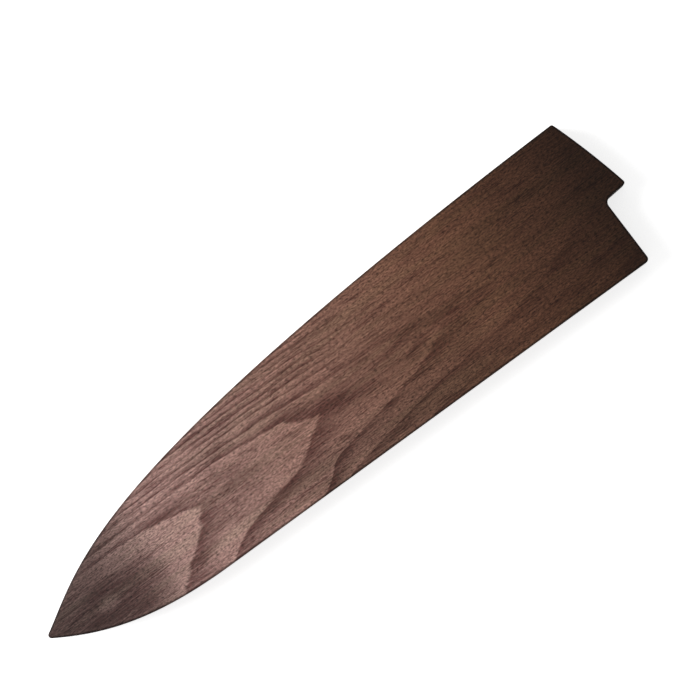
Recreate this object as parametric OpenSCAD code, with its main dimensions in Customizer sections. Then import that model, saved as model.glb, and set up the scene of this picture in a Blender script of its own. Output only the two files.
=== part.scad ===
// Wooden sheath for a chef's knife, glued up in three layers: a back plate, two rails that leave
// the blade slot open between them, and a front plate. Pairs of disc magnets, let into the plates
// from inside, hold the blade. The nose points to -X, the mouth to +X, the knife's spine lies on
// the +Y side and its cutting edge on the -Y side, and the back plate rests on Z = 0.

/* [Outline] */
// Length from the nose to the mouth face below the notch
heel_l = 250; // [180:1:330]
// How far the tab on the spine side runs past that face
tab_l = 9; // [5:0.5:16]
// Width from the straight edge side to the highest point of the spine side
sheath_w = 59; // [45:0.5:80]

/* [Nose] */
// Height of the nose above the straight edge side
nose_h = 17.3; // [12:0.1:24]
// Radius of the blunt nose
nose_r = 1.2; // [1:0.1:3]

/* [Spine side] */
// Angle at which the spine side leaves the nose
spine_rise = 30; // [20:0.5:40]
// Angle that the spine side still climbs at when it reaches the mouth
spine_slope = 1.2; // [0:0.1:3]
// How far the nose's direction holds along the spine side, as a share of the curve's chord
spine_nose_pull = 0.11; // [0.05:0.01:0.3]
// How far the mouth's direction holds back along the spine side, as a share of the chord
spine_mouth_pull = 0.815; // [0.5:0.005:0.9]

/* [Edge side] */
// Angle at which the belly leaves the nose
belly_fall = 31; // [20:0.5:40]
// Distance from the nose at which the belly runs into the straight edge side
belly_l = 65; // [50:0.5:100]
// How far the nose's direction holds along the belly, as a share of the curve's chord
belly_nose_pull = 0.24; // [0.15:0.01:0.35]
// How far the straight's direction holds back along the belly, as a share of the chord
belly_edge_pull = 0.51; // [0.3:0.01:0.6]
// Radius of the heel corner, where the edge side meets the mouth
heel_corner_r = 1.6; // [1:0.1:4]

/* [Mouth] */
// Angle by which the mouth face below the notch leans back towards the nose
mouth_lean = 1.1; // [0:0.1:4]
// Height of the notch, from the edge side to the underside of the tab
notch_h = 26.1; // [20:0.5:34]
// Radius of the notch's inside corner
notch_r = 2.4; // [1:0.1:5]
// Angle at which the tab's underside climbs away from the notch
tab_rise = 5.3; // [0:0.1:10]
// How far the top of the tab's end lies past the mouth face below the notch
tab_top_l = 0.5; // [0:0.1:3]
// How far the tab's end bows out from the straight between its corners
tab_bow = 0.45; // [0.1:0.05:1]
// Radius of the tab's lower corner
tab_corner_r = 1; // [1:0.1:3]
// Radius of the tab's corner on the spine side
spine_corner_r = 1; // [1:0.1:3]

/* [Layers] */
// Thickness of each face plate
plate_t = 4.8; // [3.5:0.1:8]
// Thickness of the rails, which is the height of the blade slot
slot_t = 4.4; // [4.2:0.1:6]
// Width of the wood beside the slot, along the spine and the edge
rail_w = 4.6; // [3:0.1:8]
// Radius of the rounding around each plate's outer face
edge_ease = 0.8; // [0.3:0.1:0.9]

/* [Magnets] */
// Places along the spine curve, each with a magnet in both plates, as shares from nose to mouth
magnet_stations = [0.66, 0.9]; // [0.3:0.01:0.95]
// Diameter of a magnet
magnet_d = 10; // [5:0.5:12]
// Thickness of a magnet
magnet_t = 2; // [1:0.1:2.5]
// Wood left between the rail and the rim of a magnet's pocket
magnet_margin = 3; // [1:0.5:8]
// Gap around a magnet in its pocket
magnet_clear = 0.05; // [0.05:0.01:0.2]
// How far a magnet's face lies below the wall of the slot
magnet_recess = 0.1; // [0.05:0.05:0.4]

/* [Hidden] */
SIDES = ["front", "back"];

overall_l = heel_l + tab_l;
spine_steps = 48;
belly_steps = 24;
corner_steps = 8;
bow_steps = 6;
ease_steps = 5;
walnut = [0.31, 0.21, 0.17];
rail_walnut = [0.27, 0.18, 0.14];
nickel = [0.75, 0.75, 0.73];
$fn = 64;

function magnet_name(side, i) = str(side, "_magnet_", i + 1);

// Plane geometry: headings are angles from +X, and left() turns a direction by a right angle.
function heading(a) = [cos(a), sin(a)];
function left(v) = [-v.y, v.x];
function unit(v) = v / norm(v);
function reversed(path) = [for (i = [len(path) - 1 : -1 : 0]) path[i]];
function without_ends(path) = [for (i = [1 : len(path) - 2]) path[i]];

// A cubic curve between two points, given its headings and how far each holds, in shares of the chord
function curve(from, from_heading, from_pull, to, to_heading, to_pull) =
    let (chord = norm(to - from))
    [
        from,
        from + chord * from_pull * heading(from_heading),
        to - chord * to_pull * heading(to_heading),
        to
    ];

function on_curve(c, u) =
    pow(1 - u, 3) * c[0] + 3 * u * pow(1 - u, 2) * c[1] + 3 * u * u * (1 - u) * c[2] + pow(u, 3) * c[3];

function along_curve(c, u) =
    unit(pow(1 - u, 2) * (c[1] - c[0]) + 2 * u * (1 - u) * (c[2] - c[1]) + u * u * (c[3] - c[2]));

// Points of a curve moved sideways, to the left of its run where side is positive
function beside_curve(c, side, steps) =
    [for (i = [0 : steps]) let (u = i / steps) on_curve(c, u) + side * left(along_curve(c, u))];

// Points of the arc that rounds the corner at a point, between the headings before and after it
function rounded_corner(point, before, after, r) =
    let (
        turn = after - before,
        hand = sign(turn),
        centre = point - r * tan(abs(turn) / 2) * heading(before) + hand * r * left(heading(before))
    )
    [for (i = [0 : corner_steps]) centre + r * heading(before + turn * i / corner_steps - 90 * hand)];

// Points of the arc about a centre, from one angle to another
function arc(centre, r, from, to) =
    [for (i = [0 : corner_steps]) centre + r * heading(from + (to - from) * i / corner_steps)];

// Inner points of a shallow bow between two points, to the right of the way from one to the other
function bow(from, to, rise) =
    [for (i = [1 : bow_steps - 1])
        let (u = i / bow_steps)
        from + u * (to - from) - 4 * u * (1 - u) * rise * left(unit(to - from))];

// A closed path drawn in by a distance, every side parallel to what it was
function drawn_in(path, distance) =
    let (n = len(path))
    [for (i = [0 : n - 1])
        let (
            before = left(unit(path[i] - path[(i + n - 1) % n])),
            after = left(unit(path[(i + 1) % n] - path[i]))
        )
        path[i] + distance * (before + after) / (1 + before * after)];

// Corners that are still sharp, and centres of the round ones, from the nose anticlockwise
nose_centre = [nose_r, nose_h];
heel_corner = [heel_l, 0];
notch_corner = [heel_l - notch_h * tan(mouth_lean), notch_h];
tab_centre_x = overall_l - tab_corner_r;
tab_centre = [
    tab_centre_x,
    notch_h + (tab_centre_x - notch_corner.x) * tan(tab_rise) + tab_corner_r / cos(tab_rise)
];
spine_centre = [heel_l + tab_top_l - spine_corner_r, sheath_w - spine_corner_r];

// The straight that touches both of the tab's corners, and the turn that its bow adds at each
tab_end = spine_centre - tab_centre;
tab_end_heading = atan2(tab_end.y, tab_end.x) - asin((spine_corner_r - tab_corner_r) / norm(tab_end));
tab_end_turn = atan(4 * tab_bow / norm(tab_end));

// The outline runs anticlockwise from the nose, in three stretches
heel_arc = rounded_corner(heel_corner, 0, 90 + mouth_lean, heel_corner_r);
notch_arc = rounded_corner(notch_corner, 90 + mouth_lean, tab_rise, notch_r);
tab_arc = arc(tab_centre, tab_corner_r, tab_rise - 90, tab_end_heading - tab_end_turn - 90);
spine_arc = arc(
    spine_centre, spine_corner_r, tab_end_heading + tab_end_turn - 90, 90 + spine_slope
);

nose_lower = arc(nose_centre, nose_r, 180, 270 - belly_fall);
nose_upper = arc(nose_centre, nose_r, 90 + spine_rise, 180);

belly_curve = curve(
    nose_lower[corner_steps], -belly_fall, belly_nose_pull, [belly_l, 0], 0, belly_edge_pull
);
spine_curve = curve(
    nose_upper[0], spine_rise, spine_nose_pull,
    spine_arc[corner_steps], spine_slope, spine_mouth_pull
);

edge_stretch = concat(
    nose_lower,
    without_ends(beside_curve(belly_curve, 0, belly_steps)),
    [[belly_l, 0]],
    heel_arc
);
tab_stretch = concat(
    notch_arc,
    tab_arc,
    bow(tab_arc[corner_steps], spine_arc[0], tab_bow)
);
spine_stretch = concat(
    spine_arc,
    without_ends(reversed(beside_curve(spine_curve, 0, spine_steps))),
    [for (i = [0 : corner_steps - 1]) nose_upper[i]]
);
outline = concat(edge_stretch, tab_stretch, spine_stretch);

// The slot lies between the spine curve and the belly curve, each moved inwards by a rail's width.
// Both run on past the mouth, so the slot is open there and under the tab.
module slot_area() {
    under_spine = beside_curve(spine_curve, -rail_w, spine_steps);
    over_edge = beside_curve(belly_curve, rail_w, belly_steps);
    past_mouth = overall_l + tab_l;
    last = under_spine[spine_steps];
    intersection() {
        polygon(concat(
            under_spine,
            [
                [past_mouth, last.y + (past_mouth - last.x) * tan(spine_slope)],
                [past_mouth, -rail_w],
                [under_spine[0].x, -rail_w]
            ]
        ));
        polygon(concat(
            over_edge,
            [
                [past_mouth, rail_w],
                [past_mouth, sheath_w + rail_w],
                [over_edge[0].x, sheath_w + rail_w]
            ]
        ));
    }
}

// Both rails, with the seam between them level with the nose
module rail_area(above_nose) {
    intersection() {
        difference() {
            polygon(outline);
            slot_area();
        }
        translate([0, above_nose ? nose_h : nose_h - sheath_w])
            square([overall_l, sheath_w]);
    }
}

module rail(above_nose) {
    translate([0, 0, plate_t])
        linear_extrude(slot_t)
            rail_area(above_nose);
}

// A plate with its seam face on Z = 0 and a quarter-round around its outer face. Each ring of
// points is the outline drawn in by rings[i][0] at the height rings[i][1].
module eased_plate() {
    rings = concat(
        [[0, 0]],
        [for (i = [0 : ease_steps])
            let (a = 90 * i / ease_steps)
            [edge_ease * (1 - cos(a)), plate_t - edge_ease * (1 - sin(a))]]
    );
    n = len(outline);
    top = n * (len(rings) - 1);
    notch_at = len(edge_stretch);
    corner_at = notch_at + len(tab_stretch);
    body_face = concat([for (i = [0 : notch_at]) i], [for (i = [corner_at : n - 1]) i]);
    tab_face = concat([corner_at], [for (i = [notch_at : corner_at - 1]) i]);
    polyhedron(
        points = [for (ring = rings) for (p = drawn_in(outline, ring[0])) [p.x, p.y, ring[1]]],
        faces = concat(
            [body_face, tab_face],
            [for (k = [0 : len(rings) - 2]) for (i = [0 : n - 1])
                let (j = (i + 1) % n)
                [k * n + i, (k + 1) * n + i, (k + 1) * n + j, k * n + j]],
            [for (face = [body_face, tab_face])
                [for (i = [0 : len(face) - 1]) top + face[(len(face) - i) % len(face)]]]
        )
    );
}

// A magnet's centre, measured in from the spine curve past the rail and the wood beside its pocket
function magnet_place(i) =
    let (
        u = magnet_stations[i],
        inset = rail_w + magnet_margin + magnet_clear + magnet_d / 2
    )
    on_curve(spine_curve, u) - inset * left(along_curve(spine_curve, u));

// One plate lying on its seam face, drilled for its magnets
module drilled_plate() {
    difference() {
        eased_plate();
        for (i = [0 : len(magnet_stations) - 1])
            translate([magnet_place(i).x, magnet_place(i).y, -magnet_t])
                cylinder(d = magnet_d + 2 * magnet_clear, h = 2 * magnet_t + magnet_recess);
    }
}

// Puts a piece that is drawn on a seam face into the front or the back layer
module in_layer(side) {
    if (side == "front")
        translate([0, 0, plate_t + slot_t])
            children();
    else
        translate([0, 0, plate_t])
            mirror([0, 0, 1])
                children();
}

// Moves the sheath from its nose and edge line to the middle of the box that it fills
module centred() {
    translate([-overall_l / 2, -sheath_w / 2, 0])
        children();
}

module front_plate() {
    color(walnut)
        centred()
            in_layer("front")
                drilled_plate();
}

module back_plate() {
    color(walnut)
        centred()
            in_layer("back")
                drilled_plate();
}

module spine_rail() {
    color(rail_walnut)
        centred()
            rail(true);
}

module edge_rail() {
    color(rail_walnut)
        centred()
            rail(false);
}

module magnet(side, i) {
    color(nickel)
        centred()
            in_layer(side)
                translate([magnet_place(i).x, magnet_place(i).y, magnet_recess])
                    cylinder(d = magnet_d, h = magnet_t);
}

front_plate();
back_plate();
spine_rail();
edge_rail();
for (side = SIDES, i = [0 : len(magnet_stations) - 1])
    magnet(side, i);
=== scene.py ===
"""Blade guard: the looks of a laminated walnut sheath for a chef's knife, round its CAD frame."""
import math
from functools import cache

import bmesh
import bpy
import numpy as np
from bpy.props import FloatProperty, FloatVectorProperty, PointerProperty
from mathutils import Matrix, Vector


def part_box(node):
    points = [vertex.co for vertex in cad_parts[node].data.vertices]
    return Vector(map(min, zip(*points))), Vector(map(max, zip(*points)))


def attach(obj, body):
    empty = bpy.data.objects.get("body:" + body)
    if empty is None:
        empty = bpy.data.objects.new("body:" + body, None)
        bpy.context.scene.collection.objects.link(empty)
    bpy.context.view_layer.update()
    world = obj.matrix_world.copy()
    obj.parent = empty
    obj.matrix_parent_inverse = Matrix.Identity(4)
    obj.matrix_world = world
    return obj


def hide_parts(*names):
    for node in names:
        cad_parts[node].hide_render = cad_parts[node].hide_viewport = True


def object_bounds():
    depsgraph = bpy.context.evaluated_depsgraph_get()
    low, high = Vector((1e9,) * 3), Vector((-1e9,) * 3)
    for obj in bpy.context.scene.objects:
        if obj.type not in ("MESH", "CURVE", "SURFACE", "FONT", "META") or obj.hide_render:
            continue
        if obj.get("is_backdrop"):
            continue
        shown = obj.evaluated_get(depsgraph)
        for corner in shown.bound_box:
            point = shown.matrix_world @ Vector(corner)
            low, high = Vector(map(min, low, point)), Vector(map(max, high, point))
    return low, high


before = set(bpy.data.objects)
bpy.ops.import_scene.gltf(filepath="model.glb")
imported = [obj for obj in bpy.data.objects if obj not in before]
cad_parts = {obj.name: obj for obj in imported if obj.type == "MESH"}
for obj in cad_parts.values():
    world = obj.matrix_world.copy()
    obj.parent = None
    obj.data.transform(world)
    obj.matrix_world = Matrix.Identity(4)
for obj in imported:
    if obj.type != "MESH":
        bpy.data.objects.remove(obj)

bl_info = {
    "name": "Walnut blade guard",
    "version": (1, 0, 0),
    "blender": (4, 5, 0),
    "location": "3D View > Sidebar > Blade guard",
    "description": "Builds a laminated wooden knife sheath with its finish, floor and light",
    "category": "Add Mesh",
}

MM = 0.001
CAD_LOW, CAD_HIGH = (np.array(corner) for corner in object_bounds())

# The face's height in millimetres, for the figure of the wood
BOARD_TOP = float(CAD_HIGH[2] / MM)

# Points along each stretch of the outline; both halves come to the same number
NOSE_STEPS = 8
CORNER_STEPS = 10
BELLY_STEPS = 60
STRAIGHT_STEPS = 120
HEEL_FACE_STEPS = 18
TAB_UNDER_STEPS = 6
TAB_END_STEPS = 34
SPINE_STEPS = 190
EASE_STEPS = 6
SMALL_EASE_STEPS = 4
DISC_STEPS = 96

# Rings of a face, as shares of the way from the rim to the middle line, and where that line
# starts, how long it is and how high it ends, as shares of the sheath
FACE_RINGS = (0.03, 0.1, 0.2, 0.35, 0.5, 0.65, 0.82, 1.0)
INNER_RINGS = (0.02, 0.5, 1.0)
MIDDLE_START, MIDDLE_LENGTH, MIDDLE_HEIGHT = 0.03, 0.885, 0.53
FACE_MARGIN = 0.15 * MM

# The rim attribute of what lies far from the outline, in millimetres
RIM_FAR = 30.0

# The edge's rounding as a share of its size: its mean, and the swing, count and start of its waves
EASE_MEAN = 0.93
EASE_WAVES = ((0.05, 7, 0.8), (0.02, 23, 0.0))

# Points over which the glue line's rounding grows to that of the slot's lip
LIP_RUN = 6

# Share of a magnet's radius at which its flat faces have a ring
DISC_RING = 0.6

# Points closer than this are one point, edges shorter than this are dropped, a bend above this
# angle is a sharp edge, and nothing is divided by less than this
WELD_REACH, SHORTEST_EDGE = 1e-6, 1e-7
SHARP_BEND = math.radians(40)
LEAST_DIVISOR = 1e-6

# The figure's curves, as points, with x from the nose and y from the edge side in millimetres: the
# heart line's y at each x, the rings at each distance below it, and at each x the crowding of the
# rings, the strength of the arches and of the lines, and the wood's brightness, which is partly
# its own darkening and partly painted shade. Then the two x between which the wood warms
HEART_LINE = ((0, 18.0), (20, 19.3), (60, 22.5), (110, 24.5), (175, 25.0), (260, 25.0))
RING_REACH_BELOW = ((0, 0), (5, 0.09), (10.7, 0.32), (16.5, 0.78), (21, 1.15), (30, 1.9))
RING_CROWDING = ((0, 0.3), (50, 0.35), (85, 0.95), (108, 0.9), (122, 1.5), (150, 1.65), (260, 1.6))
RING_STRENGTH = ((0, 0.0), (22, 0.02), (40, 0.85), (60, 1.0), (118, 1.0), (140, 0.68), (260, 0.42))
LINE_STRENGTH = ((0, 0.0), (14, 0.15), (38, 1.0), (118, 1.0), (150, 0.4), (190, 0.25), (260, 0.2))
PATINA_AND_PAINTED_SHADE = ((0, 0.27), (20, 0.36), (45, 0.76), (62, 1.14), (90, 0.97), (120, 0.93), (140, 0.74),
          (165, 0.62), (190, 0.49), (215, 0.28), (238, 0.15), (250, 0.09), (260, 0.08))
WARMTH_START, WARMTH_END = 30.0, 230.0

# The rings: the number of one and the x where it begins, then their width in millimetres and how
# they lean through the board, in the plates and in the rails
RING_NUMBER, RING_NUMBER_X = 11.0, 68.0
PLATE_RING_WIDTH, RAIL_RING_WIDTH = 54.0, 90.0
PLATE_DEPTH_SLOPE, RAIL_DEPTH_SLOPE = 0.5, 0.15

# Rings in each millimetre above the heart line, the distances past which more are added, and the
# stretch across that line over which the lines' strength takes over from that of the arches
LINE_SLOPE = 0.055
STEEPER_LINES = ((6.6, 0.14), (8.0, 0.1), (14.0, 0.2))
LINES_FROM, LINES_TO = -6.0, 1.0

# How fast a ring fades, and how much of it its soft border takes
RING_FADE, RING_BORDER = 1.5, 0.055

# How much of the sheath's darkening to the mouth, partly the wood's own and partly painted
# shade, and of the painted shade along the edge side, the rails take
RAIL_SHADE = 0.7

# How far the noises push the heart line, in millimetres, and the rings, in rings
WANDER_PUSH, RIPPLE_PUSH = 3.2, 1.6
RIPPLE_IN_RINGS, FIBRE_IN_RINGS = 0.16, 0.06

# Painted shade along the edge side: its depth, and where it comes and goes along x and y
EDGE_SIDE_SHADE = 0.33
SHADE_START_X, SHADE_FULL_X, SHADE_FADE_X, SHADE_GONE_X = 92.0, 122.0, 165.0, 240.0
SHADE_START_Y, SHADE_FULL_Y = 19.0, 7.0

# Patches of other tone: centre and reach in the same millimetres, and what each adds to the tone.
# They are the nose's dark wood, the pale eye within it, the pale wood inside the first arch, and
# the darker wood along the middle towards the mouth
PATCHES = (
    ((17.0, 9.0), (34.0, 14.0, 40.0), 0.65),
    ((24.5, 14.0), (4.6, 3.4, 12.0), -0.45),
    ((60.0, 25.0), (24.0, 8.0, 20.0), -0.1),
    ((160.0, 26.0), (44.0, 11.0, 40.0), 0.28),
)
PATCH_OUTSIDE, PATCH_INSIDE = 1.2, 0.4

# Each noise: the size of its lumps in millimetres along x, y and z, its detail and its roughness
WANDER = ((60.0, 14.0, 14.0), 2.0, 0.5)
RIPPLE = ((15.0, 4.5, 4.5), 3.0, 0.5)
FIBRE = ((13.0, 0.42, 0.42), 3.0, 0.6)
FINE_FIBRE = ((5.0, 0.2, 0.2), 2.0, 0.6)
PORE = ((2.3, 0.2, 0.2), 1.0, 0.4)
HAIR_PORE = ((7.0, 0.3, 0.3), 1.0, 0.4)
PORE_CROWD = ((12.0, 2.2, 2.2), 1.0, 0.5)
FLECK = ((1.3, 0.5, 0.5), 2.0, 0.75)
COOL_STREAK = ((48.0, 3.2, 4.0), 2.0, 0.5)
BLOTCH = ((17.0, 4.5, 5.0), 4.0, 0.62)
RUB = ((6.0, 3.0, 3.0), 3.0, 0.6)
SCUFF = ((3.0, 0.25, 1.0), 3.0, 0.65)
CLOUD = ((2.0, 2.0, 2.0), 2.0, 0.5)

# How much the fine fibres count, how much the crowding moves each kind of pore, and the heights
# of their noises between which pores and cool streaks come in
FINE_FIBRE_SHARE = 0.6
PORE_CROWDING, HAIR_CROWDING = 0.35, 0.5
PORES_COME, HAIRS_COME, COOL_COMES = (0.1, 0.2), (0.12, 0.24), (-0.08, 0.16)

# What each effect adds to the wood's tone, which runs from 0, early wood, to 1, late wood
RING_TONE, BLOTCH_TONE, FIBRE_TONE, FLECK_TONE, PORE_TONE = 0.9, 1.3, 1.6, 1.0, 0.6

# What each effect adds to the wood's brightness: the mottling, a lift of the end grain facing
# the mouth that takes back part of the painted shade there, and the edge's darkening, partly
# worn wood and partly painted shade. Then where that lift comes in, and how far the painted
# highlight line along the edge covers the colour
FLECK_LIGHT, END_GRAIN_SHADE_LIFT, WORN_AND_SHADE_LIGHT = 4.0, 1.6, -0.55
END_GRAIN_FROM, END_GRAIN_TO = 0.6, 0.95
PAINTED_HIGHLIGHT_COVER = 0.22

# Distances from the outline, in millimetres, at which the painted highlight line and the worn
# darkening, partly painted shade, come and go, how far the rubbing moves them, and the share of
# that darkening that the walls take
PALE_COMES, PALE_GOES, WEAR_AND_SHADE_GOES, WALL_ENDS = (0.7, 1.1), (2.1, 1.3), (0.95, 0.45), (0.0, 0.1)
RUB_SWAY = 0.6
WALL_WEAR_AND_SHADE = 0.35

# The oiled wood's finish: its roughness and what each effect adds to it, its relief and its gloss
WOOD_ROUGHNESS, BLOTCH_ROUGHNESS, PORE_ROUGHNESS, WORN_ROUGHNESS = 0.45, 0.18, 0.2, 0.15
RELIEF_STRENGTH, RELIEF_DEPTH, FIBRE_RELIEF, PORE_RELIEF = 0.35, 0.06 * MM, 0.8, -1.0
WOOD_SPECULAR = 0.15

# The plating's finish: its roughness, what scuffs and clouds add to it, its relief, the heights of
# their noises between which they come in, and how much of its colour a dull cloud keeps
PLATING_ROUGHNESS, SCUFF_ROUGHNESS, CLOUD_ROUGHNESS = 0.2, 0.25, 0.12
SCUFF_STRENGTH, SCUFF_DEPTH = 0.2, 0.02 * MM
SCUFFS_COME, CLOUDS_COME = (0.05, 0.2), (-0.2, 0.25)
DULL_SHARE = 0.8

# The stage: light, floor and camera, in metres, degrees and watts, and the sensor in millimetres
WORLD_LIGHT = 0.34
SOFTBOX_SIZE, SOFTBOX_POWER = 0.5, 7.4
SOFTBOX_PLACE, SOFTBOX_AIM = (-0.52, 0.36, 0.58), (-0.04, 0.0, 0.01)
FLOOR_HALF, FLOOR_GAP, FLOOR_GLOW = 4.0, 0.05 * MM, 0.72
VIEW_ROLL, VIEW_WIDTH, VIEW_DISTANCE = 36.08, 247.0 * MM, 1.3
VIEW_CENTRE, VIEW_BACK = (16.4 * MM, 7.1 * MM), (0.02, -0.032, 1.0)
VIEW_NEAR, VIEW_FAR = 0.05, 20.0
SENSOR_WIDTH = 36.0


def length(name, description, default):
    """A property for a size in metres."""
    return FloatProperty(name=name, description=description, default=default, unit="LENGTH")


def turn(name, description, default):
    """A property for an angle, given here in degrees."""
    return FloatProperty(name=name, description=description, default=math.radians(default),
                         subtype="ANGLE", unit="ROTATION")


def share(name, description, default):
    """A property for a plain factor."""
    return FloatProperty(name=name, description=description, default=default, subtype="FACTOR",
                         min=0.0, max=1.0)


def colour(name, description, default):
    """A property for a linear colour."""
    return FloatVectorProperty(name=name, description=description, default=default,
                               subtype="COLOR", size=3, min=0.0, max=1.0)


class BladeGuardSizes(bpy.types.PropertyGroup):
    """Sizes of the sheath, the same as those of its construction"""
    heel_l: length("Heel length", "From the nose to the heel corner", 250 * MM)
    tab_l: length("Tab length", "How far the tab runs past the heel", 9 * MM)
    sheath_w: length("Width", "Across the mouth", 59 * MM)
    nose_h: length("Nose height", "Height of the nose above the edge side", 17.3 * MM)
    nose_r: length("Nose radius", "Rounding of the nose", 1.2 * MM)
    spine_rise: turn("Spine rise", "Slope of the spine side at the nose", 30)
    spine_slope: turn("Spine slope", "Slope of the spine side at the mouth", 1.2)
    spine_nose_pull: share("Spine pull at the nose", "Fullness of the spine curve there", 0.11)
    spine_mouth_pull: share("Spine pull at the mouth", "Fullness of the spine curve there", 0.815)
    belly_fall: turn("Belly fall", "Slope of the edge side at the nose", 31)
    belly_l: length("Belly length", "From the nose to where the edge side is straight", 65 * MM)
    belly_nose_pull: share("Belly pull at the nose", "Fullness of the belly curve there", 0.24)
    belly_edge_pull: share("Belly pull at the edge", "Fullness of the belly curve there", 0.51)
    heel_corner_r: length("Heel corner radius", "Rounding of the heel corner", 1.6 * MM)
    mouth_lean: turn("Mouth lean", "Lean of the heel's end face", 1.1)
    notch_h: length("Notch height", "From the edge side to the notch", 26.1 * MM)
    notch_r: length("Notch radius", "Rounding inside the notch", 2.4 * MM)
    tab_rise: turn("Tab rise", "Slope of the tab's underside", 5.3)
    tab_top_l: length("Tab top length", "How far the tab's top runs past the heel", 0.5 * MM)
    tab_bow: length("Tab bow", "Bow of the tab's end", 0.45 * MM)
    tab_corner_r: length("Tab corner radius", "Rounding of the tab's outer corner", 1 * MM)
    spine_corner_r: length("Spine corner radius", "Rounding of the spine corner", 1 * MM)
    rail_w: length("Rail width", "Width of the strips between the plates", 4.6 * MM)
    edge_ease: length("Edge ease", "Rounding of the plates' outer edges", 0.8 * MM)
    seam_ease: length("Seam ease", "Tiny rounding at each glue line", 0.09 * MM)
    lip_ease: length("Lip ease", "Rounding of the slot's mouth", 0.5 * MM)
    magnet_clear: length("Magnet clearance", "Gap round a magnet in its pocket", 0.05 * MM)
    magnet_bevel: length("Magnet bevel", "Rounding of a magnet's rims", 0.25 * MM)


class BladeGuardColours(bpy.types.PropertyGroup):
    """Colours of the woods and the metal"""
    light_wood: colour("Light wood", "Early wood of the plates", (0.34, 0.21, 0.185))
    dark_wood: colour("Dark wood", "Late wood of the plates", (0.095, 0.042, 0.038))
    light_rail: colour("Light rail wood", "Early wood of the rails", (0.22, 0.125, 0.095))
    dark_rail: colour("Dark rail wood", "Late wood of the rails", (0.09, 0.045, 0.035))
    warm_tint: colour("Warm tint", "Tint that the wood takes towards the mouth", (1.0, 0.7, 0.45))
    cool_tint: colour("Cool tint", "Tint of the greyer streaks", (0.92, 0.98, 0.93))
    nickel: colour("Nickel", "Plating of the magnets", (0.62, 0.60, 0.56))
    floor: colour("Floor", "Pale floor", (0.8, 0.8, 0.8))


def heading(degrees):
    """Unit vectors at these angles from +X, one row for each."""
    angle = np.radians(np.atleast_1d(degrees))
    return np.stack([np.cos(angle), np.sin(angle)], 1)


def left_of(vectors):
    """Each vector turned a quarter to its left."""
    return np.stack([-vectors[..., 1], vectors[..., 0]], -1)


def arc(centre, radius, start, end, steps=CORNER_STEPS):
    """Points of a circle about centre, from one angle to the other."""
    return centre + radius * heading(np.linspace(start, end, steps + 1))


def rounded_corner(point, before, after, radius):
    """The arc that touches both lines through a corner, given by their headings."""
    bend = after - before
    hand = math.copysign(1, bend)
    ahead = heading(before)[0]
    back = radius * math.tan(math.radians(abs(bend) / 2))
    centre = point - back * ahead + hand * radius * left_of(ahead)
    return arc(centre, radius, before - 90 * hand, after - 90 * hand)


def smooth_curve(start, start_heading, start_pull, end, end_heading, end_pull, steps):
    """A cubic curve whose handles are shares of its chord, laid along the two headings."""
    chord = np.linalg.norm(end - start)
    first = start + chord * start_pull * heading(start_heading)[0]
    last = end - chord * end_pull * heading(end_heading)[0]
    u = np.linspace(0, 1, steps + 1)[:, None]
    return ((1 - u) ** 3 * start + 3 * u * (1 - u) ** 2 * first
            + 3 * u ** 2 * (1 - u) * last + u ** 3 * end)


def line(start, end, steps):
    """Even points from one end to the other."""
    return start + np.linspace(0, 1, steps + 1)[:, None] * (end - start)


def bowed_line(start, end, rise, steps):
    """A line that bulges to its right by a parabola of that rise."""
    u = np.linspace(0, 1, steps + 1)[:, None]
    out = -left_of((end - start) / np.linalg.norm(end - start))
    return start + u * (end - start) + 4 * u * (1 - u) * rise * out


def joined(*stretches):
    """Stretches end to end, each one's first point being the last of the one before."""
    return np.concatenate([stretches[0]] + [stretch[1:] for stretch in stretches[1:]])


def pinned(path, point):
    """The path with its nearest point moved onto this one, and that point's number."""
    nearest = int(np.argmin(np.linalg.norm(path - point, axis=1)))
    path[nearest] = point
    return nearest


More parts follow.
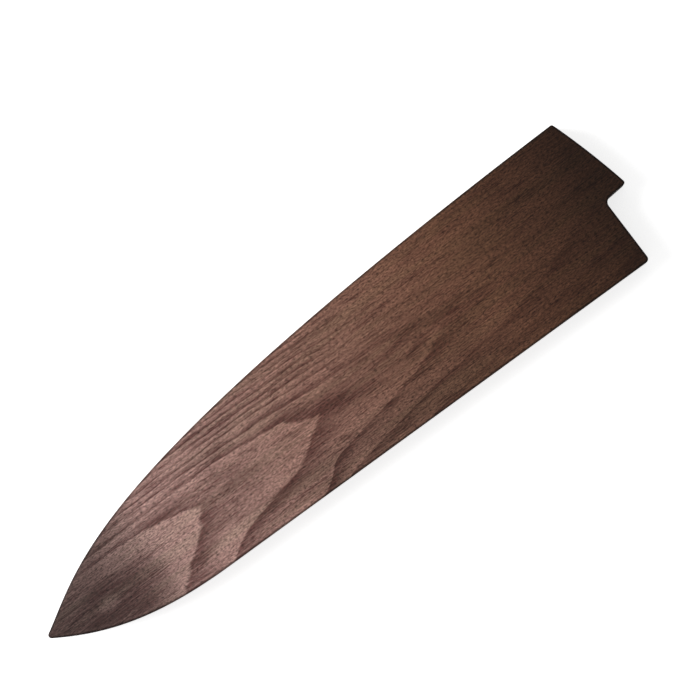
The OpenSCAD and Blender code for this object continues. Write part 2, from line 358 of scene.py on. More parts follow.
class Outline:
    """The sheath's outline as two halves from the nose to the tab's outer corner.

    Each half is arcs, cubic curves and lines end to end. Both have as many points, so that
    point i of one pairs with point i of the other across the sheath's middle line.
    """

    def __init__(self, s):
        rise, slope = math.degrees(s.spine_rise), math.degrees(s.spine_slope)
        fall, lean = math.degrees(s.belly_fall), math.degrees(s.mouth_lean)
        tab_rise = math.degrees(s.tab_rise)

        # The centres of the nose, the tab's corner and the spine's corner, and the notch's corner
        nose = np.array([s.nose_r, s.nose_h])
        notch = np.array([s.heel_l - s.notch_h * math.tan(s.mouth_lean), s.notch_h])
        tab_x = s.heel_l + s.tab_l - s.tab_corner_r
        tab_y = (s.notch_h + (tab_x - notch[0]) * math.tan(s.tab_rise)
                 + s.tab_corner_r / math.cos(s.tab_rise))
        tab = np.array([tab_x, tab_y])
        crown = np.array([s.heel_l + s.tab_top_l - s.spine_corner_r,
                          s.sheath_w - s.spine_corner_r])

        # The tab's end: the heading of the line that touches both corners, and the turn that its
        # bow adds at each
        span = np.linalg.norm(crown - tab)
        end_heading = (math.degrees(math.atan2(*(crown - tab)[::-1]))
                       - math.degrees(math.asin((s.spine_corner_r - s.tab_corner_r) / span)))
        bulge = math.degrees(math.atan(4 * s.tab_bow / span))

        # The stretches of both halves
        nose_lower = arc(nose, s.nose_r, 180, 270 - fall, NOSE_STEPS)
        nose_upper = arc(nose, s.nose_r, 180, 90 + rise, NOSE_STEPS)
        heel_arc = rounded_corner(np.array([s.heel_l, 0.0]), 0, 90 + lean, s.heel_corner_r)
        notch_arc = rounded_corner(notch, 90 + lean, tab_rise, s.notch_r)
        tab_arc = arc(tab, s.tab_corner_r, tab_rise - 90, end_heading - bulge - 90)
        crown_arc = arc(crown, s.spine_corner_r, 90 + slope, end_heading + bulge - 90)
        belly_end = np.array([s.belly_l, 0.0])
        belly = smooth_curve(nose_lower[-1], -fall, s.belly_nose_pull,
                             belly_end, 0, s.belly_edge_pull, BELLY_STEPS)
        spine = smooth_curve(nose_upper[-1], rise, s.spine_nose_pull,
                             crown_arc[0], slope, s.spine_mouth_pull, SPINE_STEPS)

        self.lower = joined(
            nose_lower, belly, line(belly_end, heel_arc[0], STRAIGHT_STEPS), heel_arc,
            line(heel_arc[-1], notch_arc[0], HEEL_FACE_STEPS), notch_arc,
            line(notch_arc[-1], tab_arc[0], TAB_UNDER_STEPS), tab_arc)
        self.upper = joined(
            nose_upper, spine, crown_arc,
            bowed_line(tab_arc[-1], crown_arc[-1], s.tab_bow, TAB_END_STEPS)[::-1])
        self.heel_start = NOSE_STEPS + BELLY_STEPS + STRAIGHT_STEPS
        self.crown_start = NOSE_STEPS + SPINE_STEPS

        # The rails' ends at the mouth: on the heel's end face, and on the tab's end
        self.edge_end = np.array([s.heel_l - s.rail_w * math.tan(s.mouth_lean), s.rail_w])
        under = spine[-1] - s.rail_w * left_of(heading(slope)[0])
        beside = (self.upper[self.crown_start:] - under) @ left_of(heading(slope)[0])
        crossing = int(np.argmax(beside < 0)) + self.crown_start
        over, below = beside[crossing - self.crown_start - 1], beside[crossing - self.crown_start]
        part = over / (over - below)
        self.spine_end = self.upper[crossing - 1] * (1 - part) + self.upper[crossing] * part
        self.edge_last = pinned(self.lower, self.edge_end)
        self.spine_last = pinned(self.upper, self.spine_end)

        # The whole loop, and at each point its mitre, which keeps an inset's width, and the unit
        # vector inwards
        self.steps = len(self.lower) - 1
        self.loop = np.concatenate([self.lower, self.upper[-2:0:-1]])
        before = self.loop - np.roll(self.loop, 1, 0)
        after = np.roll(before, -1, 0)
        before = left_of(before / np.linalg.norm(before, axis=1)[:, None])
        after = left_of(after / np.linalg.norm(after, axis=1)[:, None])
        bisector = before + after
        self.mitre = bisector / (1 + (before * after).sum(1))[:, None]
        self.inward = bisector / np.linalg.norm(bisector, axis=1)[:, None]

    def half(self, values, side):
        """One half of an array that follows the loop, from the nose on."""
        upper = np.concatenate([values[:1], values[:self.steps - 1:-1]])
        return values[:self.steps + 1] if side == "lower" else upper

    def middle(self):
        """For each point of the loop, its place on the middle line, shared by both halves.

        The line runs from just behind the nose to just before the mouth, at a height that eases
        from the nose's to about half the sheath's width. Its end points lie on the ones next to
        them, so that the faces there close as triangles.
        """
        width = self.upper[:, 1].max()
        across = (self.lower[:, 0] + self.upper[:, 0]) / 2
        across[0], across[-1] = across[1], across[-2]
        x = MIDDLE_START * across[-1] + MIDDLE_LENGTH * across
        u = x / across[-1]
        y = self.lower[0, 1] + (MIDDLE_HEIGHT * width - self.lower[0, 1]) * np.sin(u * math.pi / 2)
        paired = np.stack([x, y], 1)
        return np.concatenate([paired, paired[-2:0:-1]])


def in_frame(points):
    """Points measured from the nose and the edge side, moved to the frame's own origin."""
    return points + np.array([*CAD_LOW[:2], 0.0])


def grid_faces(rows, columns, rows_close=False, columns_close=False, flip=False):
    """The quads of a grid, whose rows and columns may each run round."""
    row = np.arange(rows if rows_close else rows - 1)[:, None]
    column = np.arange(columns if columns_close else columns - 1)[None, :]
    below, beside = (row + 1) % rows, (column + 1) % columns
    quads = np.stack([row * columns + column, below * columns + column,
                      below * columns + beside, row * columns + beside], -1).reshape(-1, 4)
    return quads[:, ::-1] if flip else quads


def put(name, data):
    """A new object with this data, in the scene."""
    made = bpy.data.objects.new(name, data)
    bpy.context.scene.collection.objects.link(made)
    return made


def weld(mesh):
    """Merges the points that lie on each other, and drops faces that have no area."""
    welded = bmesh.new()
    welded.from_mesh(mesh)
    bmesh.ops.remove_doubles(welded, verts=welded.verts, dist=WELD_REACH)
    bmesh.ops.dissolve_degenerate(welded, edges=welded.edges, dist=SHORTEST_EDGE)
    welded.to_mesh(mesh)
    welded.free()


def grid_piece(name, points, faces, rim=None):
    """An object from a grid of points, welded where rows meet, smooth but for its corners."""
    mesh = bpy.data.meshes.new(name)
    mesh.from_pydata(points.reshape(-1, 3).tolist(), [], faces.tolist())
    if rim is not None:
        layer = mesh.attributes.new("rim", "FLOAT", "POINT")
        layer.data.foreach_set("value", rim.reshape(-1).astype(np.float32))
    weld(mesh)
    mesh.shade_smooth()
    mesh.set_sharp_from_angle(angle=SHARP_BEND)
    mesh.validate()
    return put(name, mesh)


def hand_in(piece, node, material):
    """Dresses a piece and lets it stand for its CAD node."""
    piece.data.materials.clear()
    piece.data.materials.append(material)
    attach(piece, "root")
    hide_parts(node)


def quarter_round(radius, steps=EASE_STEPS):
    """(inset, drop) pairs of a quarter circle, from the wall's end to the face's end."""
    a = np.linspace(0, math.pi / 2, steps + 1)
    return [(radius * (1 - math.cos(k)), radius * (1 - math.sin(k))) for k in a]


def plate_grid(outline, s, thickness):
    """A plate lying on its inner face: rings carried round the outline.

    From the middle of the outer face the rings spread to the rim, follow a quarter circle over
    the edge, drop down the wall, turn under by a smaller quarter circle, and draw in to the
    middle of the inner face. The edge's rounding swells and shrinks a little, as sanded by hand.
    Beside each ring stands its distance from the outline in millimetres, for the worn edge, its
    painted shade and its painted highlight.
    """
    loop, mitre = outline.loop, outline.mitre
    count = len(loop)
    number = np.arange(count)
    around = number / count * 2 * math.pi
    waves = sum(swing * np.sin(turns * around + start) for swing, turns, start in EASE_WAVES)
    ease = s.edge_ease * (EASE_MEAN + waves)
    margin = ease + FACE_MARGIN

    # The slot's lip runs from the edge rail's last point to the spine rail's
    upper_last = count - outline.spine_last
    in_mouth = np.clip((number - outline.edge_last) / LIP_RUN, 0, 1)
    in_mouth *= np.clip((upper_last - number) / LIP_RUN, 0, 1)
    lip = s.seam_ease + (s.lip_ease - s.seam_ease) * in_mouth

    middle = outline.middle()
    reach = np.linalg.norm(middle - loop, axis=1) / MM

    def ring(inset, height):
        """The outline drawn in along its mitres, at a height for each point."""
        return np.column_stack([loop + inset[:, None] * mitre, height])

    def face_ring(part, inset, height):
        """A flat ring, this share of the way from the drawn-in outline to the middle line."""
        start = loop + inset[:, None] * mitre
        return np.column_stack([start + part * (middle - start), np.full(count, height)])

    rings = [(face_ring(part, margin, thickness), np.minimum(margin / MM + part * reach, RIM_FAR))
             for part in reversed(FACE_RINGS)]
    rings.append((ring(margin, np.full(count, thickness)), margin / MM))
    for inset, drop in reversed(quarter_round(1.0)):
        rings.append((ring(ease * inset, thickness - ease * drop), ease * inset / MM))
    for inset, drop in quarter_round(1.0, SMALL_EASE_STEPS):
        rings.append((ring(lip * inset, lip * drop), np.zeros(count)))
    for part in INNER_RINGS:
        rings.append((face_ring(part, lip, 0.0), np.full(count, RIM_FAR)))
    rows, rims = zip(*rings)
    return np.stack(rows), np.stack(rims)


def cut_pockets(piece, nodes, inner_height, clear):
    """Cuts a blind round pocket for each magnet, from the inner face to the magnet's far side."""
    for node in nodes:
        low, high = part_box(node)
        depth = max(high.z - inner_height, inner_height - low.z)
        drill = bmesh.new()
        radius = (high.x - low.x) / 2 + clear
        place = Matrix.Translation(((low.x + high.x) / 2, (low.y + high.y) / 2, inner_height))
        bmesh.ops.create_cone(drill, cap_ends=True, segments=DISC_STEPS, radius1=radius,
                              radius2=radius, depth=2 * depth, matrix=place)
        mesh = bpy.data.meshes.new("drill")
        drill.to_mesh(mesh)
        drill.free()
        tool = put("drill", mesh)
        cut = piece.modifiers.new("pocket", "BOOLEAN")
        cut.operation, cut.solver, cut.object = "DIFFERENCE", "EXACT", tool
        bpy.context.view_layer.update()
        whole = piece.evaluated_get(bpy.context.evaluated_depsgraph_get())
        drilled = bpy.data.meshes.new_from_object(whole)
        piece.modifiers.clear()
        piece.data = drilled
        weld(drilled)
        bpy.data.objects.remove(tool)
    piece.data.set_sharp_from_angle(angle=SHARP_BEND)


def rail_grid(outline, s, side, low, high):
    """A rail between the plates: a strip from the outline to the slot, carried nose to mouth.

    The slot's wall lies one rail width inside the outline, and no further than the nose's own
    height, where the two rails meet. Past the mouth's corner it stays at the rail's end. The
    strip has a tiny bevel along each glue line, and tapers to nothing at both ends.
    """
    last = outline.edge_last if side == "lower" else outline.spine_last
    corner = outline.heel_start if side == "lower" else outline.crown_start
    end = outline.edge_end if side == "lower" else outline.spine_end
    outer = outline.half(outline.loop, side)[:last + 1]
    inward = outline.half(outline.inward, side)[:last + 1]
    bevel = outline.half(outline.mitre, side)[:last + 1] * s.seam_ease
    room = np.abs(s.nose_h - outer[:, 1]) / np.maximum(np.abs(inward[:, 1]), LEAST_DIVISOR)
    inner = outer + np.minimum(room, s.rail_w)[:, None] * inward
    inner[0] = outer[0]
    inner[corner + 1:] = end
    bevel[[0, -1]] = 0
    drawn = outer + bevel
    seam = s.seam_ease
    profile = ((inner, high), (drawn, high), (outer, high - seam), (outer, low + seam),
               (drawn, low), (inner, low), (inner, low + seam), (inner, high - seam))
    return np.stack([np.column_stack([path, np.full(len(path), z)]) for path, z in profile])


def disc_grid(low, high, bevel):
    """A disc with rounded rims: a half section of (radius, height) turned about its axis."""
    centre = (low + high) / 2
    radius = (high[0] - low[0]) / 2
    inset = np.array(quarter_round(bevel, SMALL_EASE_STEPS))
    top = [(radius - i, high[2] - d) for i, d in inset[::-1]]
    foot = [(radius - i, low[2] + d) for i, d in inset]
    section = np.array([(0.0, high[2]), (radius * DISC_RING, high[2])] + top + foot
                       + [(radius * DISC_RING, low[2]), (0.0, low[2])])
    angle = np.linspace(0, 2 * math.pi, DISC_STEPS, endpoint=False)
    return np.stack([centre[0] + section[:, :1] * np.cos(angle),
                     centre[1] + section[:, :1] * np.sin(angle),
                     section[:, 1:] * np.ones(DISC_STEPS)], -1)


class Nodes:
    """Short calls that add nodes to a tree and join them."""

    def __init__(self, tree):
        self.tree = tree
        tree.nodes.clear()

    def feed(self, socket, value):
        """Links a socket or sets a plain value."""
        if isinstance(value, bpy.types.NodeSocket):
            self.tree.links.new(value, socket)
        else:
            socket.default_value = value

    def add(self, kind, inputs=None, **settings):
        """A node of that kind with its settings, and its inputs by name or number."""
        node = self.tree.nodes.new(kind)
        for key, value in settings.items():
            setattr(node, key, value)
        for key, value in (inputs or {}).items():
            self.feed(node.inputs[key], value)
        return node

    def math(self, operation, *values, clamp=False):
        """A Math node's result."""
        return self.add("ShaderNodeMath", dict(enumerate(values)), operation=operation,
                        use_clamp=clamp).outputs[0]

    def total(self, start, *weighted):
        """start plus each value times its weight."""
        for value, weight in weighted:
            start = self.math("MULTIPLY_ADD", value, weight, start)
        return start

    def product(self, first, *others):
        """All the values multiplied."""
        for other in others:
            first = self.math("MULTIPLY", first, other)
        return first

    def place_in_mm(self, origin=(0.0, 0.0, 0.0)):
        """Object coordinates in millimetres from an origin given in metres."""
        here = self.add("ShaderNodeTexCoord").outputs["Object"]
        start = tuple(-value / MM for value in origin)
        return self.add("ShaderNodeMapping", {"Vector": here, "Location": start,
                                              "Scale": (1 / MM,) * 3}).outputs[0]

    def vector(self, operation, *values):
        """A Vector Math node's result."""
        return self.add("ShaderNodeVectorMath", dict(enumerate(values)),
                        operation=operation).outputs[0]

    def ramp(self, value, start, end, smooth=True):
        """0 before start, 1 after end, eased between them."""
        kind = "SMOOTHSTEP" if smooth else "LINEAR"
        node = self.add("ShaderNodeMapRange", {"Value": value, "From Min": start, "From Max": end},
                        interpolation_type=kind)
        return node.outputs["Result"]

    def noise(self, place, size, detail, roughness):
        """Noise whose lumps have this size along x, y and z, centred on nought."""
        near = self.vector("DIVIDE", place, size)
        node = self.add("ShaderNodeTexNoise",
                        {"Vector": near, "Scale": 1.0, "Detail": detail, "Roughness": roughness})
        return self.math("SUBTRACT", node.outputs["Fac"], 0.5)

    def curve(self, value, points):
        """A smooth curve through given points, scaled to the node's range of 0 to 1."""
        xs, ys = zip(*points)
        top = max(ys)
        inside = self.ramp(value, xs[0], xs[-1], smooth=False)
        node = self.add("ShaderNodeFloatCurve", {"Value": inside})
        drawn = node.mapping.curves[0]
        while len(drawn.points) < len(points):
            drawn.points.new(0.5, 0.5)
        for dot, x, y in zip(drawn.points, xs, ys):
            dot.location = ((x - xs[0]) / (xs[-1] - xs[0]), y / top)
        node.mapping.update()
        return self.math("MULTIPLY", node.outputs[0], top)

    def mix(self, factor, a, b, blend="MIX"):
        """Two colours mixed, through a Mix node's colour sockets."""
        return self.add("ShaderNodeMix", {0: factor, 6: a, 7: b}, data_type="RGBA",
                        blend_type=blend).outputs[2]


def node_group(name, inputs, outputs):
    """An empty shader group with named sockets; returns its calls, its inputs and its outputs."""
    tree = bpy.data.node_groups.new(name, "ShaderNodeTree")
    nodes = Nodes(tree)
    for label, kind, default in inputs:
        socket = tree.interface.new_socket(label, in_out="INPUT", socket_type=kind)
        if default is not None:
            socket.default_value = default
    for label, kind in outputs:
        tree.interface.new_socket(label, in_out="OUTPUT", socket_type=kind)
    return nodes, nodes.add("NodeGroupInput").outputs, nodes.add("NodeGroupOutput").inputs


def fibre_group():
    """What any cut of walnut has: noises stretched along x, in the wood's own place.

    Fibre is two sizes of fibres together. Pores are the peaks of two finer noises, short and
    hair-fine, and lie thicker where a slow noise is high; cut across, they show as dots. Fleck is
    the finest mottling, Blotch the broad one, and Cool the streaks of greyer wood.
    """
    nodes, given, out = node_group(
        "Fibre and pores", [("Place", "NodeSocketVector", None)],
        [("Fibre", "NodeSocketFloat"), ("Pores", "NodeSocketFloat"), ("Blotch", "NodeSocketFloat"),
         ("Fleck", "NodeSocketFloat"), ("Cool", "NodeSocketFloat")])
    place = given["Place"]
    fibre = nodes.total(nodes.noise(place, *FIBRE),
                        (nodes.noise(place, *FINE_FIBRE), FINE_FIBRE_SHARE))
    crowd = nodes.noise(place, *PORE_CROWD)
    short = nodes.total(nodes.noise(place, *PORE), (crowd, PORE_CROWDING))
    hairs = nodes.total(nodes.noise(place, *HAIR_PORE), (crowd, HAIR_CROWDING))
    pores = nodes.math("MAXIMUM", nodes.ramp(short, *PORES_COME), nodes.ramp(hairs, *HAIRS_COME))
    nodes.feed(out["Fibre"], fibre)
    nodes.feed(out["Pores"], pores)
    nodes.feed(out["Blotch"], nodes.noise(place, *BLOTCH))
    nodes.feed(out["Fleck"], nodes.noise(place, *FLECK))
    nodes.feed(out["Cool"], nodes.ramp(nodes.noise(place, *COOL_STREAK), *COOL_COMES))
    return nodes.tree


def figure_group():
    """The rings of a flat-sawn walnut board, as dark shares from 0 to 1.

    A ring's number grows along x from the nose. Below the heart line it grows faster with the
    distance from it, which draws the arches; above it, it grows fast enough to make thin
    parallel lines. Each ring starts dark behind a narrow soft border, and fades towards the next.
    """
    nodes, given, out = node_group(
        "Walnut figure",
        [("Place", "NodeSocketVector", None), ("Fibre", "NodeSocketFloat", 0.0),
         ("Depth Slope", "NodeSocketFloat", PLATE_DEPTH_SLOPE),
         ("Ring Width", "NodeSocketFloat", PLATE_RING_WIDTH)],
        [("Dark", "NodeSocketFloat")])
    place = given["Place"]
    x, y, z = nodes.add("ShaderNodeSeparateXYZ", {"Vector": place}).outputs
    ripple = nodes.noise(place, *RIPPLE)
    depth = nodes.product(nodes.math("SUBTRACT", z, BOARD_TOP), given["Depth Slope"])
    off = nodes.math("ADD", nodes.math("SUBTRACT", y, nodes.curve(x, HEART_LINE)), depth)
    off = nodes.total(off, (nodes.noise(place, *WANDER), WANDER_PUSH), (ripple, RIPPLE_PUSH))

    below = nodes.product(nodes.math("MINIMUM", off, 0.0), -1.0)
    arches = nodes.product(nodes.curve(below, RING_REACH_BELOW), nodes.curve(x, RING_CROWDING))
    above = nodes.math("MAXIMUM", off, 0.0)
    steeper = [(nodes.math("MAXIMUM", nodes.math("SUBTRACT", above, start), 0.0), slope)
               for start, slope in STEEPER_LINES]
    lines = nodes.total(nodes.product(above, LINE_SLOPE), *steeper)

    along = nodes.math("DIVIDE", nodes.math("SUBTRACT", x, RING_NUMBER_X), given["Ring Width"])
    number = nodes.math("ADD", nodes.math("ADD", along, RING_NUMBER),
                        nodes.math("ADD", arches, lines))
    number = nodes.total(number, (ripple, RIPPLE_IN_RINGS), (given["Fibre"], FIBRE_IN_RINGS))
    grown = nodes.math("FRACT", number)
    dark = nodes.product(nodes.math("POWER", nodes.math("SUBTRACT", 1.0, grown), RING_FADE),
                         nodes.ramp(grown, 0.0, RING_BORDER))
    arch_share = nodes.curve(x, RING_STRENGTH)
    line_share = nodes.math("SUBTRACT", nodes.curve(x, LINE_STRENGTH), arch_share)
    strength = nodes.math("MULTIPLY_ADD", nodes.ramp(off, LINES_FROM, LINES_TO), line_share,
                          arch_share)
    nodes.feed(out["Dark"], nodes.product(dark, strength))
    return nodes.tree


def edge_group():
    """Marks along the eased edges, from each point's distance inside the outline.

    Pale is a painted highlight, a broken line where the face begins to turn over. The other
    output covers the rounding, and the walls more thinly, and darkens them partly as worn wood
    and partly as painted shade.
    """
    nodes, given, out = node_group(
        "Rubbed edge with painted shade and highlight", [("Place", "NodeSocketVector", None)],
        [("Pale", "NodeSocketFloat"), ("Worn_and_shaded", "NodeSocketFloat")])
    rim = nodes.add("ShaderNodeAttribute", attribute_name="rim").outputs["Fac"]
    moved = nodes.total(rim, (nodes.noise(given["Place"], *RUB), RUB_SWAY))
    nodes.feed(out["Pale"], nodes.product(nodes.ramp(moved, *PALE_COMES),
                                          nodes.ramp(moved, *PALE_GOES)))
    wear_and_shade = nodes.total(WALL_WEAR_AND_SHADE, (nodes.ramp(rim, *WALL_ENDS), 1 - WALL_WEAR_AND_SHADE))
    nodes.feed(out["Worn_and_shaded"], nodes.product(nodes.ramp(moved, *WEAR_AND_SHADE_GOES), wear_and_shade))
    return nodes.tree


@cache
def wood_groups():
    """The shared groups, built once."""
    return {"fibre": fibre_group(), "figure": figure_group(), "edge": edge_group()}


def placed(nodes, tree, inputs):
    """A group placed in a material, with its own values."""
    return nodes.add("ShaderNodeGroup", inputs, node_tree=tree).outputs


def new_material(name):
    """An empty material, and the calls that fill it."""
    material = bpy.data.materials.new(name)
    material.use_nodes = True
    return material, Nodes(material.node_tree)


def surface(nodes, height, strength, distance, inputs):
    """A Principled surface with a bump, led to the material's output."""
    bump = nodes.add("ShaderNodeBump", {"Strength": strength, "Distance": distance,
                                        "Height": height})
    shader = nodes.add("ShaderNodeBsdfPrincipled", {**inputs, "Normal": bump.outputs[0]})
    nodes.add("ShaderNodeOutputMaterial", {"Surface": shader.outputs[0]})


def near_place(nodes, here, centre, reach, unrest):
    """1 near a place in the wood, 0 beyond its reach, with an uneven border."""
    off = nodes.vector("DIVIDE", nodes.vector("SUBTRACT", here, centre), reach)
    away = nodes.add("ShaderNodeVectorMath", {0: off}, operation="LENGTH").outputs["Value"]
    return nodes.ramp(nodes.math("ADD", away, unrest), PATCH_OUTSIDE, PATCH_INSIDE)


def walnut(name, c, light, dark, shift, mirror=1.0, depth_slope=PLATE_DEPTH_SLOPE,
           ring_width=PLATE_RING_WIDTH, shade=1.0):
    """Oiled walnut: figure, patches, fibres, pores, an end grain lift against the painted shade, a
    worn edge that is partly painted shade, a painted highlight line along it, a darkening to the
    mouth that is partly painted shade, painted shade along the edge side, and a satin finish.

    shift moves the cut along the log, in millimetres, and mirror turns it over, so that each
    piece has its own figure. shade is how much it takes of the sheath's darkening to the mouth,
    partly the wood's own and partly painted shade, and of the painted shade along the edge side.
    """
    material, nodes = new_material(name)
    groups = wood_groups()
    sheath = nodes.place_in_mm((*CAD_LOW[:2], 0.0))
    cut = nodes.add("ShaderNodeMapping", {"Vector": sheath, "Location": shift,
                                          "Scale": (1.0, mirror, 1.0)}).outputs[0]
    x, y, _ = nodes.add("ShaderNodeSeparateXYZ", {"Vector": sheath}).outputs
    grain = placed(nodes, groups["fibre"], {"Place": cut})
    rings = placed(nodes, groups["figure"], {
        "Place": cut, "Fibre": grain["Fibre"], "Depth Slope": depth_slope,
        "Ring Width": ring_width})
    edge = placed(nodes, groups["edge"], {"Place": sheath})

    patches = [(near_place(nodes, sheath, (*centre, BOARD_TOP), reach, grain["Blotch"]), added)
               for centre, reach, added in PATCHES]
    tone = nodes.total(0.0, (rings["Dark"], RING_TONE), *patches, (grain["Blotch"], BLOTCH_TONE),
                       (grain["Fibre"], FIBRE_TONE), (grain["Fleck"], FLECK_TONE),
                       (grain["Pores"], PORE_TONE))
    wood = nodes.mix(tone, (*light, 1), (*dark, 1))
    wood = nodes.mix(grain["Cool"], wood, (*c.cool_tint, 1), "MULTIPLY")
    # Painted highlight: a pale line where the face begins to turn over the edge
    wood = nodes.mix(nodes.product(edge["Pale"], PAINTED_HIGHLIGHT_COVER), wood, (*light, 1))
    wood = nodes.mix(nodes.ramp(x, WARMTH_START, WARMTH_END), wood, (*c.warm_tint, 1), "MULTIPLY")

    # Painted shade: darker along the edge side, from the middle of the sheath to near the mouth
    painted_edge_side_shade = nodes.product(nodes.ramp(x, SHADE_START_X, SHADE_FULL_X),
                             nodes.ramp(y, SHADE_START_Y, SHADE_FULL_Y),
                             nodes.ramp(x, SHADE_GONE_X, SHADE_FADE_X))
    # The end grain facing the mouth is lifted, which takes back part of the painted shade there
    normal = nodes.add("ShaderNodeNewGeometry").outputs["Normal"]
    to_mouth = nodes.add("ShaderNodeSeparateXYZ", {"Vector": normal}).outputs["X"]
    end_grain_shade_lift = nodes.ramp(to_mouth, END_GRAIN_FROM, END_GRAIN_TO)
    # The brightness paints shade: the darkening to the mouth is partly the wood's own and partly
    # painted shade, the edge side's darkening is painted shade, and the edge's darkening is partly
    # worn wood and partly painted shade
    brightness = nodes.product(
        nodes.total(1.0 - shade, (nodes.curve(x, PATINA_AND_PAINTED_SHADE), shade)),
        nodes.total(1.0, (painted_edge_side_shade, -EDGE_SIDE_SHADE * shade)),
        nodes.total(1.0, (end_grain_shade_lift, END_GRAIN_SHADE_LIFT)),
        nodes.total(1.0, (grain["Fleck"], FLECK_LIGHT)),
        nodes.total(1.0, (edge["Worn_and_shaded"], WORN_AND_SHADE_LIGHT)))
    wood = nodes.add("ShaderNodeVectorMath", {0: wood, "Scale": brightness},
                     operation="SCALE").outputs[0]

    rough = nodes.total(WOOD_ROUGHNESS, (grain["Blotch"], BLOTCH_ROUGHNESS),
                        (grain["Pores"], PORE_ROUGHNESS), (edge["Worn_and_shaded"], WORN_ROUGHNESS))
    height = nodes.total(0.0, (grain["Fibre"], FIBRE_RELIEF), (grain["Pores"], PORE_RELIEF))
    surface(nodes, height, RELIEF_STRENGTH, RELIEF_DEPTH, {
        "Base Color": wood, "Roughness": rough, "Specular IOR Level": WOOD_SPECULAR})
    return material


def nickel_plating(c):
    """Bright plating with fine scuffs and duller clouds."""
    material, nodes = new_material("Nickel plating")
    here = nodes.place_in_mm()
    scuffs = nodes.noise(here, *SCUFF)
    cloud = nodes.noise(here, *CLOUD)
    rough = nodes.total(PLATING_ROUGHNESS, (nodes.ramp(scuffs, *SCUFFS_COME), SCUFF_ROUGHNESS),
                        (cloud, CLOUD_ROUGHNESS))
    dull = [DULL_SHARE * value for value in c.nickel]
    tone = nodes.mix(nodes.ramp(cloud, *CLOUDS_COME), (*c.nickel, 1), (*dull, 1))
    surface(nodes, scuffs, SCUFF_STRENGTH, SCUFF_DEPTH, {
        "Base Color": tone, "Metallic": 1.0, "Roughness": rough})
    return material


def floor_finish(c):
    """A pale floor that the camera, metal and glass see near white, and that takes shadows."""
    material, nodes = new_material("Pale floor")
    rays = nodes.add("ShaderNodeLightPath").outputs
    seen = nodes.math("ADD", rays["Is Camera Ray"], rays["Is Glossy Ray"])
    seen = nodes.math("ADD", seen, rays["Is Transmission Ray"], clamp=True)
    diffuse = nodes.add("ShaderNodeBsdfDiffuse", {"Color": (*c.floor, 1)})
    glow = nodes.add("ShaderNodeEmission", {"Strength": nodes.product(seen, FLOOR_GLOW)})
    both = nodes.add("ShaderNodeAddShader", {0: diffuse.outputs[0], 1: glow.outputs[0]})
    nodes.add("ShaderNodeOutputMaterial", {"Surface": both.outputs[0]})
    return material


class BLADE_GUARD_OT_plates(bpy.types.Operator):
    """Make the two walnut plates, with a blind pocket for each magnet"""
    bl_idname = "blade_guard.plates"
    bl_label = "Make the plates"

    def execute(self, context):
        s, c = context.scene.blade_guard_sizes, context.scene.blade_guard_colours
        outline = Outline(s)

        # Where each plate was cut from the log, in millimetres, and -1 where it is turned over
        cuts = {"front": ((0.0, 0.0, 0.0), 1.0), "back": ((14.0, 63.0, 23.0), -1.0)}
        for side, (shift, mirror) in cuts.items():
            low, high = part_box(f"{side}_plate")
            grid, rim = plate_grid(outline, s, high.z - low.z)
            front = side == "front"
            grid[..., 2] = low.z + grid[..., 2] if front else high.z - grid[..., 2]
            faces = grid_faces(*grid.shape[:2], columns_close=True, flip=not front)
            piece = grid_piece(f"{side}_plate_walnut", in_frame(grid), faces, rim)
            magnets = [f"{side}_magnet_{number}" for number in (1, 2)]
            cut_pockets(piece, magnets, low.z if front else high.z, s.magnet_clear)
            finish = f"{side.capitalize()} plate walnut"
            hand_in(piece, f"{side}_plate",
                    walnut(finish, c, c.light_wood, c.dark_wood, shift, mirror))
        return {"FINISHED"}


class BLADE_GUARD_OT_rails(bpy.types.Operator):
    """Make the two strips that keep the plates apart and close the slot"""
    bl_idname = "blade_guard.rails"
    bl_label = "Make the rails"

    def execute(self, context):
        s, c = context.scene.blade_guard_sizes, context.scene.blade_guard_colours
        outline = Outline(s)

        # Each rail's half of the outline, and where it was cut from the log, in millimetres
        cuts = {"edge": ("lower", (31.0, 9.0, 5.0)), "spine": ("upper", (-12.0, 14.0, 2.0))}
        for name, (side, shift) in cuts.items():
            node = f"{name}_rail"
            low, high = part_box(node)
            grid = rail_grid(outline, s, side, low.z, high.z)
            faces = grid_faces(*grid.shape[:2], rows_close=True, flip=side == "upper")
            piece = grid_piece(f"{node}_walnut", in_frame(grid), faces)
            finish = f"{name.capitalize()} rail walnut"
            hand_in(piece, node,
                    walnut(finish, c, c.light_rail, c.dark_rail, shift, shade=RAIL_SHADE,
                           depth_slope=RAIL_DEPTH_SLOPE, ring_width=RAIL_RING_WIDTH))
        return {"FINISHED"}


class BLADE_GUARD_OT_magnets(bpy.types.Operator):
    """Make the nickel-plated disc magnets in the plates' pockets"""
    bl_idname = "blade_guard.magnets"
    bl_label = "Make the magnets"

    def execute(self, context):
        s, c = context.scene.blade_guard_sizes, context.scene.blade_guard_colours
        plating = nickel_plating(c)
        for side in ("front", "back"):
            for number in (1, 2):
                node = f"{side}_magnet_{number}"
                low, high = (np.array(corner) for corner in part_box(node))
                grid = disc_grid(low, high, s.magnet_bevel)
                faces = grid_faces(*grid.shape[:2], columns_close=True)
                piece = grid_piece(f"{node}_disc", grid, faces)
                hand_in(piece, node, plating)
        return {"FINISHED"}


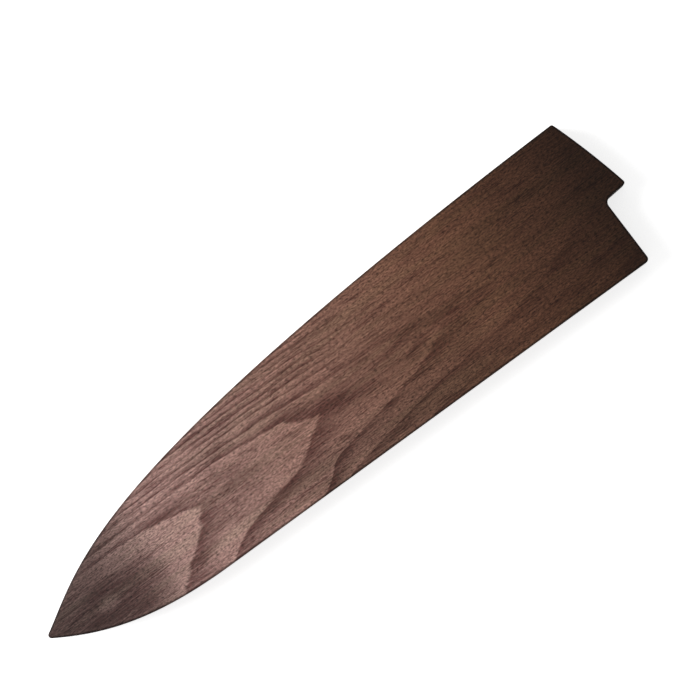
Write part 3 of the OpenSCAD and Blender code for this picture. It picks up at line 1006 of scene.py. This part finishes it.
class BLADE_GUARD_OT_stage(bpy.types.Operator):
    """Make the pale floor, the soft light and the camera above the sheath"""
    bl_idname = "blade_guard.stage"
    bl_label = "Make the stage"

    def execute(self, context):
        c = context.scene.blade_guard_colours
        mesh = bpy.data.meshes.new("floor")
        corners = [(x * FLOOR_HALF, y * FLOOR_HALF, CAD_LOW[2] - FLOOR_GAP)
                   for x, y in ((-1, -1), (1, -1), (1, 1), (-1, 1))]
        mesh.from_pydata(corners, [], [(0, 1, 2, 3)])
        floor = put("floor", mesh)
        mesh.materials.append(floor_finish(c))
        floor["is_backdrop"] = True
        self.light(context)
        self.look(context)
        return {"FINISHED"}

    def light(self, context):
        """An even pale world, and one large soft lamp on the nose side."""
        world = bpy.data.worlds.new("Studio")
        world.use_nodes = True
        sky = world.node_tree.nodes["Background"]
        sky.inputs["Color"].default_value = (1, 1, 1, 1)
        sky.inputs["Strength"].default_value = WORLD_LIGHT
        context.scene.world = world
        lamp = bpy.data.lights.new("softbox", "AREA")
        lamp.shape, lamp.size, lamp.energy = "SQUARE", SOFTBOX_SIZE, SOFTBOX_POWER
        softbox = put("softbox", lamp)
        softbox.location = SOFTBOX_PLACE
        aim = Vector(SOFTBOX_AIM) - softbox.location
        softbox.rotation_euler = aim.to_track_quat("-Z", "Y").to_euler()

    def look(self, context):
        """A long lens high above the sheath, rolled so that its length climbs to the right."""
        back = Vector(VIEW_BACK).normalized()
        roll = math.radians(VIEW_ROLL)
        right = Vector((math.cos(roll), -math.sin(roll), 0.0))
        right = (right - back * right.dot(back)).normalized()
        up = back.cross(right)
        camera = bpy.data.cameras.new("camera")
        camera.sensor_width = SENSOR_WIDTH
        camera.lens = SENSOR_WIDTH * VIEW_DISTANCE / VIEW_WIDTH
        camera.clip_start, camera.clip_end = VIEW_NEAR, VIEW_FAR
        seen = put("camera", camera)
        target = Vector((*VIEW_CENTRE, CAD_HIGH[2]))
        turned = Matrix((right, up, back)).transposed().to_4x4()
        seen.matrix_world = Matrix.Translation(target + back * VIEW_DISTANCE) @ turned
        context.scene.camera = seen
        context.scene.view_settings.view_transform = "Standard"


class BLADE_GUARD_PT_panel(bpy.types.Panel):
    """The sheath's sizes, colours and buttons"""
    bl_idname = "BLADE_GUARD_PT_panel"
    bl_label = "Blade guard"
    bl_space_type = "VIEW_3D"
    bl_region_type = "UI"
    bl_category = "Blade guard"

    def draw(self, context):
        column = self.layout.column()
        for settings in (context.scene.blade_guard_sizes, context.scene.blade_guard_colours):
            for name in settings.__annotations__:
                column.prop(settings, name)
        for operator in MAKERS:
            column.operator(operator.bl_idname)


MAKERS = (BLADE_GUARD_OT_plates, BLADE_GUARD_OT_rails, BLADE_GUARD_OT_magnets,
          BLADE_GUARD_OT_stage)
CLASSES = (BladeGuardSizes, BladeGuardColours, *MAKERS, BLADE_GUARD_PT_panel)


def register():
    """Adds the classes, and gives the scene its settings."""
    for each in CLASSES:
        bpy.utils.register_class(each)
    bpy.types.Scene.blade_guard_sizes = PointerProperty(type=BladeGuardSizes)
    bpy.types.Scene.blade_guard_colours = PointerProperty(type=BladeGuardColours)


def unregister():
    """Takes them away again."""
    del bpy.types.Scene.blade_guard_colours
    del bpy.types.Scene.blade_guard_sizes
    for each in reversed(CLASSES):
        bpy.utils.unregister_class(each)


def main():
    """Registers the classes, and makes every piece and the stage."""
    register()
    bpy.ops.blade_guard.plates()
    bpy.ops.blade_guard.rails()
    bpy.ops.blade_guard.magnets()
    bpy.ops.blade_guard.stage()
    bpy.context.view_layer.update()


if __name__ == "__main__":
    main()
